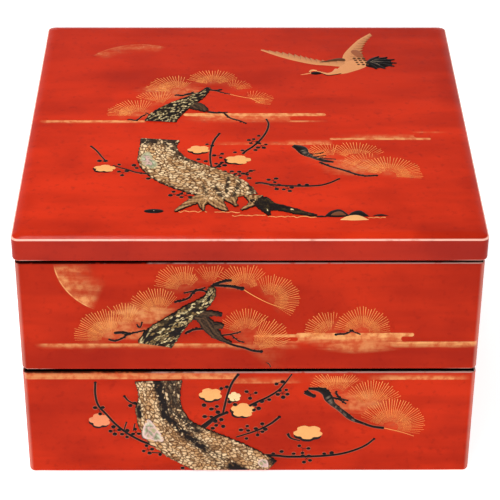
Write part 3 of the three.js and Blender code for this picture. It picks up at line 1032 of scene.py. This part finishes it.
LOWER_TWIGS = [
    (0.75, 0.6, [(-45, 13), (-50, 17), (-58, 21), (-65, 26), (-71, 32), (-76, 39), (-80, 45),
                 (-81.3, 52), (-81, 60)]),
    (0.35, 0.4, [(-67, 28), (-65.5, 33.5)]),
    (0.3, 0.3, [(-62, 28), (-61, 32.5)]),
    (0.3, 0.3, [(-45, 12.5), (-52, 13)]),
    (0.35, 0.6, [(-59, 45), (-64, 48), (-66, 51)]),
    (0.6, 0.7, [(-14, 39.5), (-13, 45), (-11.5, 52), (-9, 60), (-6, 65)]),
    (1.7, 0.8, [(-26, 29), (-22, 33), (-17, 37.5), (-12, 40)]),
    (0.8, 0.4, [(0, 44.5), (4, 47), (10, 50.5), (15.5, 55), (19, 60), (22, 65)]),
    (0.4, 0.75, [(-7, 23.5), (-3, 25), (2, 27), (7, 29.5), (12, 33), (16, 37)]),
    (0.9, 0.6, [(8, 11), (15, 10.7), (20, 10), (30, 10), (40, 10.5), (50, 12), (58, 15), (63, 18), (67, 22)]),
    (0.9, 0.3, [(20.5, 26), (22, 23), (27, 21)]),
]
LOWER_BUDS = [
    (-79.5, 42, 3, 2.6), (-72, 28, 4, 2.6), (-66, 26, 3, 2.6), (-60.5, 27, 3, 2.4), (-54.5, 15, 4, 2.8),
    (-48, 11.5), (-62, 46, 2, 1.8), (-24, 45), (-18, 42.5, 3, 2.4), (-22, 37.5, 2, 1.8),
    (-16, 33, 4, 3), (-19.5, 29.5), (-13.3, 56.5, 2, 1.8), (-8.5, 47, 3, 2.4), (15.5, 60, 2, 2),
    (17.5, 53, 5, 2.8), (8.5, 48, 2, 2), (3.5, 43.5, 3, 2.2), (0.5, 52, 3, 2.8), (-2, 29, 3, 2.4),
    (4.5, 27, 3, 2.4), (7, 30, 2, 2.4), (-1.5, 22.5), (17.5, 13.5), (13, 12),
    (24, 12), (29, 15.5, 3, 2.8), (31, 8.5, 4, 2.6), (40.5, 12), (44.5, 12.5), (-36, 2.2),
]
LOWER_BLOSSOMS = [
    (-20.5, 52, 6.3, -100, 0.7), (-8, 50.5, 3.6, -120, 0.9, PEACH_PALE), (-3.5, 41.5, 6.6, -130, 0.74),
    (-79.5, 35, 6, -110, 0.78, PEACH_ROSE), (31.5, 26.5, 8, -95, 0.62),
]
LOWER_PINE_SPRIG = [
    (31, 56, 0.8), (36, 55.3, 1.2), (40, 53, 1.9), (42, 49.5, 2.5), (44, 46, 1.6), (48, 42, 1.2),
    (54, 36, 1.2), (60, 33, 0.8), (66, 30.5, 0.7), (72, 29.5, 0.9),
]
LOWER_PINE_TWIGS = [
    (1.7, 1.0, [(29.5, 54), (32, 52), (34, 51)]),
    (0.7, 0.4, [(43, 50), (47, 49), (51, 46)]),
    (0.6, 0.4, [(47, 49.5), (52, 48)]),
    (0.6, 0.4, [(45.5, 53.5), (46.5, 51.5), (48, 50)]),
    (0.8, 0.5, [(46.5, 43.5), (50, 41), (55, 36.5)]),
    (0.7, 0.5, [(36, 56.4), (40, 55.3), (42.5, 53)]),
]

# A spray of plum and a spray of pine for the sides that the photo doesn't show

SIDE_TWIGS = [
    (1.0, 0.5, [(-44, 12), (-30, 17), (-17, 25), (-6, 30), (8, 32), (20, 30)]),
    (0.7, 0.5, [(-20, 23), (-14, 33), (-11, 44), (-4, 53)]),
    (0.6, 0.5, [(-2, 31), (6, 39), (16, 43)]),
]
SIDE_BUDS = [
    (-27, 21, 3, 2.4), (-12, 38, 4, 2.8), (-7, 49, 2, 2.2), (3, 28, 3, 2.6), (14, 29, 3, 2.4),
    (10, 43, 3, 2.4),
]
SIDE_BLOSSOMS = [(-8, 25, 5.4, -90, 0.8), (17, 44, 5.6, -120, 0.8)]
SIDE_PINE = [(-50, 86.5), (-40, 90), (-30, 95), (-18, 99), (-6, 98), (8, 96)]


def mirrored(items, flip, shift):
    """Paths, twigs, clusters or blossoms moved along a side, and mirrored if flip is -1."""
    def move(item):
        if isinstance(item[-1], list):
            return (item[0], item[1], [(flip * x + shift, y) for x, y in item[2]])
        return (flip * item[0] + shift, *item[1:])
    return [move(item) for item in items]


# The crane, the ground and the rocks on the lid

def wing(gold, black, lead, trail, feathers, tips):
    """A spread wing between its leading edge and a trailing edge cut into feather tips."""
    each = 6
    steps = each * feathers
    one = spline(lead, steps)[0]
    two = spline(trail, steps)[0]
    cut = 1 - tips * (1 - (np.arange(steps + 1) / each) % 1)
    two = one + (two - one) * cut[:, None]
    share = np.linspace(0, 1, 5)
    a, b = between(one, two, share)
    h = 0.2 * np.sin(math.pi * clamp(share * 0.8 + 0.1)) + 0 * a
    tone = blend(WING, WING_DEEP, 0.6 * share)
    flip = np.cross(one[-1] - one[0], two[len(two) // 2] - one[0]) > 0
    order = slice(None, None, -1 if flip else 1)
    sheet_colour = np.broadcast_to(tone, (*a.shape, 3))
    gold.grid(a[:, order], b[:, order], h[:, order], sheet_colour[:, order])
    for k in range(1, feathers):
        start, end = one[k * each], two[k * each - 1]
        inner = start + (end - start) * 0.35
        stroke(black, tapered([tuple(inner), tuple(end)], 0.07, 0.12), 0.26, BARK_LINE, steps=3)


def plumes(sheet, start, ends, half, height, colour):
    """Tail feathers that spread from one point."""
    for end in ends:
        middle = ((start[0] + end[0]) / 2, (start[1] + end[1]) / 2 + 0.6)
        stroke(sheet, [(*start, half * 0.7), (*middle, half), (*end, half * 0.25)], height, colour)


def crane(gold, black):
    """A crane in flight towards the left, with both wings spread."""
    wing(gold, black, [(57, 64), (47, 66), (40, 67), (33, 69.5), (25, 73.5), (17, 78.5), (8, 85.5)],
         [(56, 76), (46, 73.5), (38, 76), (32, 79.5), (25, 82.5), (17, 85), (8, 87)], 13, 0.3)
    wing(gold, black, [(55, 70), (56.5, 80), (60.5, 89), (66, 99), (73.5, 108)],
         [(70, 70), (68.5, 80), (69.5, 90), (72, 98), (75, 105)], 11, 0.22)
    patch(gold, [(48, 56.5), (53, 64), (58, 73), (66, 75), (71, 71)],
          [(48, 55), (55, 55.5), (62, 59), (68, 63.5), (71, 68)], 0.34, WING)
    stroke(gold, [(40, 58.2, 0.9), (43, 57.2, 0.9), (46, 55.6, 1.1), (50, 57, 2), (53, 60.5, 3)], 0.4, WING)
    stroke(gold, [(36.5, 56.6, 0.5), (34, 55.6, 0.35), (30.5, 54.4, 0.12)], 0.3, WING)
    stroke(gold, [(35.6, 57.6, 0.6), (37.2, 60, 0.7), (40, 59.6, 0.4)], 0.42, GOLD_PALE)
    patch(gold, [(59.5, 85), (61, 80), (64, 76)], [(64, 89), (67, 83.5), (68.5, 77.5)], 0.34, WING_DEEP)
    patch(black, [(36.4, 57.5), (39, 58.8), (43.5, 58.2)], [(36.4, 55.4), (39.5, 54.6), (43.8, 56.4)],
          0.45, BLACK)
    stroke(black, [(43, 56.4, 0.25), (46, 54, 0.35), (50, 54.6, 0.3), (54, 56, 0.15)], 0.3, BLACK)
    patch(black, [(37, 69.4), (45, 72.2), (53, 75.8), (58.5, 75.5)],
          [(37, 68.8), (45, 69.4), (52, 71), (58.5, 70)], 0.3, BARK_LINE)
    for row in range(4):
        for x in (62.5, 65.3, 68):
            dome(black, x + 0.7 * row, 75 - 2.6 * row, 1.2, 0.5, BARK_LINE, around=8)
    patch(black, [(68, 67), (73, 75.5), (79, 77), (84, 73.5)],
          [(68, 65.5), (74, 62.5), (80, 63.5), (84.5, 67)], 0.46, BLACK)
    tail = [(77, 77.5), (82, 76.5), (86, 73.5), (87, 69), (85.5, 65), (80, 62), (75, 61.5)]
    plumes(black, (70, 69.5), tail, 1.9, 0.5, BLACK)
    plumes(gold, (71.5, 70), [(77, 73.5), (79, 70), (77, 66)], 0.3, 0.56, GREY)


def squiggle(sheet, left, right, y):
    """A line of the ground, shaky as a brush leaves it."""
    count = int((right - left) / 1.4)
    path = [(x, y + rng.uniform(-0.8, 0.8), rng.uniform(0.2, 0.42))
            for x in np.linspace(left, right, count + 1)]
    stroke(sheet, path, 0.12, GOLD, steps=4 * count)


def rock(sheet, x, y, wide, high, colour, height=0.3):
    """A mound with a flat foot, seen from the side."""
    foot = [(x - wide, y), (x, y - 0.12 * high), (x + wide, y)]
    crest = [(x - wide, y), (x - 0.45 * wide, y + 0.75 * high), (x + 0.2 * wide, y + high), (x + wide, y)]
    patch(sheet, foot, crest, height, colour)


def ground(gold, black):
    """Shaky lines, a low mound at the left and a group of rocks at the right."""
    for left, right, y in (
        (-38, -22, -95.5), (-18, -5, -96), (9, 34, -100.6), (-9, 8, -99.6), (60, 69, -101),
    ):
        squiggle(gold, left, right, y)
    dome(black, -49, -95, 5.2, 0.35, BLACK, squash=0.42, around=24)
    dome(gold, -49, -94.9, 0.6, 0.45, GREY, around=8)
    rock(black, 44.5, -100.5, 7, 7.5, BLACK)
    rock(gold, 45, -99.6, 4.6, 4.6, rgb(120, 66, 36), 0.42)
    rock(black, 55, -100.4, 6, 6.2, BLACK)
    rock(gold, 53, -103.6, 7.5, 5.2, GOLD_PALE, 0.42)
    rock(black, 36, -101, 3, 1.8, BLACK)
    rock(black, 66.5, -99.8, 4.4, 1.8, BLACK)


# Camera, light and floor

def make_camera():
    """At the photo's viewing angle, fitted to the box's corners in its 500 pixel frame."""
    focal_pixels, frame_pixels, sensor = 1889, 500, 36.0
    pitch, yaw, roll = (math.radians(v) for v in (32.85, 0.62, 0.29))
    data = bpy.data.cameras.new("camera")
    data.sensor_width = sensor
    data.lens = focal_pixels / frame_pixels * sensor
    data.clip_start, data.clip_end = 0.05, 20
    camera = bpy.data.objects.new("camera", data)
    camera.location = (-0.0087, -0.9154, 0.6571)
    forward = Vector((math.sin(yaw) * math.cos(pitch), math.cos(yaw) * math.cos(pitch), -math.sin(pitch)))
    camera.rotation_mode = "QUATERNION"
    camera.rotation_quaternion = Quaternion(forward, -roll) @ forward.to_track_quat("-Z", "Y")
    bpy.context.scene.collection.objects.link(camera)
    bpy.context.scene.camera = camera


def area_light(name, place, aim, size, power):
    data = bpy.data.lights.new(name, "AREA")
    data.shape = "RECTANGLE"
    data.size, data.size_y = size
    data.energy = power
    lamp = bpy.data.objects.new(name, data)
    lamp.location = place
    lamp.rotation_mode = "QUATERNION"
    lamp.rotation_quaternion = (Vector(aim) - Vector(place)).to_track_quat("-Z", "Y")
    bpy.context.scene.collection.objects.link(lamp)


def make_light():
    """White all round near the horizon and dimmer above, with a soft box overhead and one in front."""
    world = bpy.data.worlds.new("studio")
    world.use_nodes = True
    nodes, links = world.node_tree.nodes, world.node_tree.links
    split = nodes.new("ShaderNodeSeparateXYZ")
    fade = nodes.new("ShaderNodeMapRange")
    for socket, value in zip(fade.inputs[1:5], (0.15, 0.42, 0.9, 0.22)):
        socket.default_value = value
    links.new(nodes.new("ShaderNodeTexCoord").outputs["Generated"], split.inputs[0])
    links.new(split.outputs[2], fade.inputs[0])
    links.new(fade.outputs[0], nodes["Background"].inputs[1])
    nodes["Background"].inputs[0].default_value = (1, 1, 1, 1)
    bpy.context.scene.world = world
    bpy.context.scene.view_settings.view_transform = "Standard"
    area_light("overhead", (-0.34, -0.08, 1.1), (-0.05, 0, 0.1), (0.5, 0.6), 8.0)
    area_light("front", (0.1, -0.75, 1.25), (0, 0, 0.08), (0.9, 0.5), 4.6)


def make_floor():
    """White paper that glows a little, as an even backdrop does."""
    g = Graph("floor_paper")
    g.finish(
        Base_Color=(0.86, 0.86, 0.86),
        Roughness=0.9,
        Specular_IOR_Level=0.1,
        Emission_Color=(1.0, 1.0, 1.0),
        Emission_Strength=0.72,
    )
    bpy.ops.mesh.primitive_plane_add(size=12, location=(0, 0, cad_low.z - 0.0002))
    floor = bpy.context.object
    floor.name = "floor"
    floor.data.materials.append(g.material)


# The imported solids

def smooth_arrises(limit):
    """A node group that joins a solid's facets and shades them as one, except over sharp edges."""
    tree = bpy.data.node_groups.new("smooth_arrises", "GeometryNodeTree")
    for way in ("INPUT", "OUTPUT"):
        tree.interface.new_socket("Geometry", in_out=way, socket_type="NodeSocketGeometry")
    start, weld, faces, edges, end, angle, soft = (tree.nodes.new(kind) for kind in (
        "NodeGroupInput", "GeometryNodeMergeByDistance", "GeometryNodeSetShadeSmooth",
        "GeometryNodeSetShadeSmooth", "NodeGroupOutput", "GeometryNodeInputMeshEdgeAngle",
        "FunctionNodeCompare",
    ))
    weld.inputs["Distance"].default_value = 1e-6
    edges.domain = "EDGE"
    soft.operation = "LESS_THAN"
    soft.inputs[1].default_value = limit
    for source, target in zip((start, weld, faces, edges), (weld, faces, edges, end)):
        tree.links.new(source.outputs[0], target.inputs[0])
    tree.links.new(angle.outputs[0], soft.inputs[0])
    tree.links.new(soft.outputs[0], edges.inputs["Shade Smooth"])
    return tree


def dress_body(node, material, smoothing):
    """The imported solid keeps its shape, and gets smooth arrises and its lacquer."""
    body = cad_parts[node]
    body.data.materials.clear()
    body.data.materials.append(material)
    body.data.attributes.remove(body.data.attributes["custom_normal"])
    body.modifiers.new("smooth", "NODES").node_group = smoothing
    weigh = body.modifiers.new("weigh", "WEIGHTED_NORMAL")
    weigh.keep_sharp = True


def dress_solids():
    """All three solids, each with its own lacquer and the paintings on its faces."""
    smoothing = smooth_arrises(math.radians(35))
    upper_faces = [(FRONT, paint_upper)]
    lower_faces = [(FRONT, paint_lower)]
    for face, flip, shift in SIDES.values():
        upper_faces.append((face, paint_side(112, 86, True, flip, shift)))
        lower_faces.append((face, paint_side(62, 58, False, flip, shift)))
    # The sixth value of each row is how much painted shade darkens the solid near its foot.
    for node, red, paintings, foot, shoulder, foot_shade, gloss in (
        ("lid", RED_LID_LIT, [(LID, paint_lid)], LID_FOOT, LID_ARRIS, 0.0, 0.12),
        ("upper_tier", RED_TIER, upper_faces, UPPER_FOOT, UPPER_SHOULDER, 0.35, 0.06),
        ("lower_tier", RED_LOWER_LIT, lower_faces, LOWER_FOOT, LOWER_SHOULDER, 0.0, 0.06),
    ):
        dress_body(node, lacquer(f"{node}_lacquer", red, paintings, foot, shoulder, foot_shade, gloss), smoothing)


# Pieces laid over the solids

def make_bark():
    """Bark over the trunks, roots and branches that stand out of the solids."""
    lid_place = (LID, 2 * LID_HALF / 100, 0, (-FLAT_HALF, FLAT_HALF), "lid_lacquer")
    upper_place, lower_place = (
        (FRONT, TIER_HEIGHT / 100, foot, (foot + FOOT_ARRIS, shoulder - SHOULDER_ARRIS), "tier_lacquer")
        for foot, shoulder in ((UPPER_FOOT, UPPER_SHOULDER), (LOWER_FOOT, LOWER_SHOULDER))
    )
    branch_bark = brushed_bark(BLACK, BARK_GREY)
    for name, limbs, bark, (face, unit, foot, window, slot) in (
        ("lid_plum_trunk", LID_PLUM_TRUNK, plum_bark(LID_SHADE, 2.6, 1.9, 0.19), lid_place),
        ("lid_plum_roots", LID_PLUM_ROOTS, brushed_bark(BARK_LINE, BARK_TAN), lid_place),
        ("lid_black_roots", LID_BLACK_ROOTS, pine_bark(2.0, 1.0, 0.06, 0.9), lid_place),
        ("lid_pine_trunk", LID_PINE, pine_bark(1.5, 0.9, 0.32, 0.35), lid_place),
        ("lid_pine_branch", LID_PINE_BRANCH, branch_bark, lid_place),
        ("upper_pine_trunk", TRAY_PINE, pine_bark(2.0, 0.9, 0.56, 0.7), upper_place),
        ("upper_pine_branches", TRAY_PINE_BRANCHES, branch_bark, upper_place),
        ("lower_plum_trunk", TRAY_PLUM, plum_bark(LOWER_SHADE, 2.3, 1.6, 0.2), lower_place),
    ):
        sheet = Sheet(face)
        for number, path in enumerate(limbs):
            limb(sheet, path, unit, foot, bark, BARK_SEED + number, window)
        sheet.build(name, BARK_FINISH, slot)


class Picture:
    """The raised work on one face, one piece for each finish."""

    def __init__(self, name, face, slot, fans=(), gap=1.55, width=0.15, top=math.inf):
        self.name = name
        self.slot = slot
        self.black, self.rim, self.gold, self.needles = (Sheet(face) for _ in range(4))
        self.sheets = (self.black, self.rim)
        fan_needles(self.needles, fans, gap, width, top)

    def plum(self, paths, clusters, flowers):
        twigs(self.sheets, paths)
        for cluster in clusters:
            buds(self.sheets, *cluster)
        for flower in flowers:
            blossom(self.gold, self.sheets, *flower)

    def fine_lines(self, paths):
        for points in paths:
            stroke(self.needles, tapered(points, 0.22, 0.12), NEEDLE_HEIGHT, NEEDLE)

    def build(self):
        for sheet, what, finish in (
            (self.black, "raised_black", BLACK_FINISH),
            (self.rim, "gold_and_highlight_rims", RIM_FINISH),
            (self.gold, "raised_gold", GOLD_FINISH),
            (self.needles, "pine_needles", NEEDLE_FINISH),
        ):
            if sheet.faces:
                sheet.build(f"{self.name}_{what}", finish, self.slot)


def lid_picture():
    picture = Picture("lid", LID, "lid_lacquer", LID_FANS, gap=1.85, width=0.17)
    picture.plum(LID_PLUM_TWIGS, LID_BUDS, LID_BLOSSOMS)
    twigs(picture.sheets, LID_PINE_TWIGS, knots=True)
    grained(picture.sheets, LID_SPRIG, 0.45)
    picture.fine_lines([[(-10.5, 31), (-4, 28), (1.2, 26.3), (12, 25)], [(1.2, 26.3), (6.6, 20.8)]])
    ground(picture.gold, picture.black)
    crane(picture.gold, picture.black)
    picture.build()


def upper_picture():
    picture = Picture("upper", FRONT, "tier_lacquer", UPPER_FANS, top=UPPER_SHOULDER - SHOULDER_ARRIS)
    twigs(picture.sheets, UPPER_TWIGS, knots=True)
    picture.fine_lines([[(-4, 119.5), (2, 115), (10.5, 110), (22.5, 105.6)]])
    picture.build()


def lower_picture():
    picture = Picture("lower", FRONT, "tier_lacquer", LOWER_FANS, top=LOWER_SHOULDER - SHOULDER_ARRIS)
    picture.plum(LOWER_TWIGS, LOWER_BUDS, LOWER_BLOSSOMS)
    twigs(picture.sheets, LOWER_PINE_TWIGS, knots=True)
    grained(picture.sheets, LOWER_PINE_SPRIG, 0.5)
    picture.fine_lines([[(72, 29.5), (81.5, 26.7), (88.3, 24)]])
    picture.build()


def side_pictures():
    """A sprig of pine on the upper tray and a spray of plum on the lower, on each plain side."""
    for side, (face, flip, shift) in SIDES.items():
        upper = Picture(f"upper_{side}", face, "tier_lacquer", turned(SIDE_FANS, flip, shift))
        twigs(upper.sheets, [(1.2, 0.6, [(flip * x + shift, y) for x, y in SIDE_PINE])])
        upper.build()
        lower = Picture(f"lower_{side}", face, "tier_lacquer")
        lower.plum(*(mirrored(items, flip, shift) for items in (SIDE_TWIGS, SIDE_BUDS, SIDE_BLOSSOMS)))
        lower.build()


def shells():
    """Pieces of shell let into the bark of the plums: their names, faces and two long edges."""
    for name, face, border, first, second, slot in (
        ("lower_shell", FRONT, SHELL_PINK, [(-54.6, 37), (-56.8, 31), (-57.8, 26), (-57.4, 23)],
         [(-52.6, 36.4), (-49, 30), (-45.2, 22), (-46, 19.8)], "tier_lacquer"),
        ("lower_small_shell", FRONT, SHELL_PINK, [(5, 9), (4.6, 6.5), (5, 4)],
         [(10, 9), (10.6, 5.5), (11, 2)], "tier_lacquer"),
        ("lid_shell", LID, SHELL_GREY, [(-55.5, -34), (-58.4, -42), (-57, -49), (-52, -54.5)],
         [(-52.5, -35), (-51, -42), (-48, -49), (-48.5, -54)], "lid_lacquer"),
    ):
        sheet = Sheet(face)
        patch(sheet, first, second, 0.25, shell(border), steps=40, across=32, base=RELIEF)
        sheet.build(name, SHELL_FINISH, slot)


make_camera()
make_light()
make_floor()
dress_solids()
make_bark()
lid_picture()
upper_picture()
lower_picture()
side_pictures()
shells()
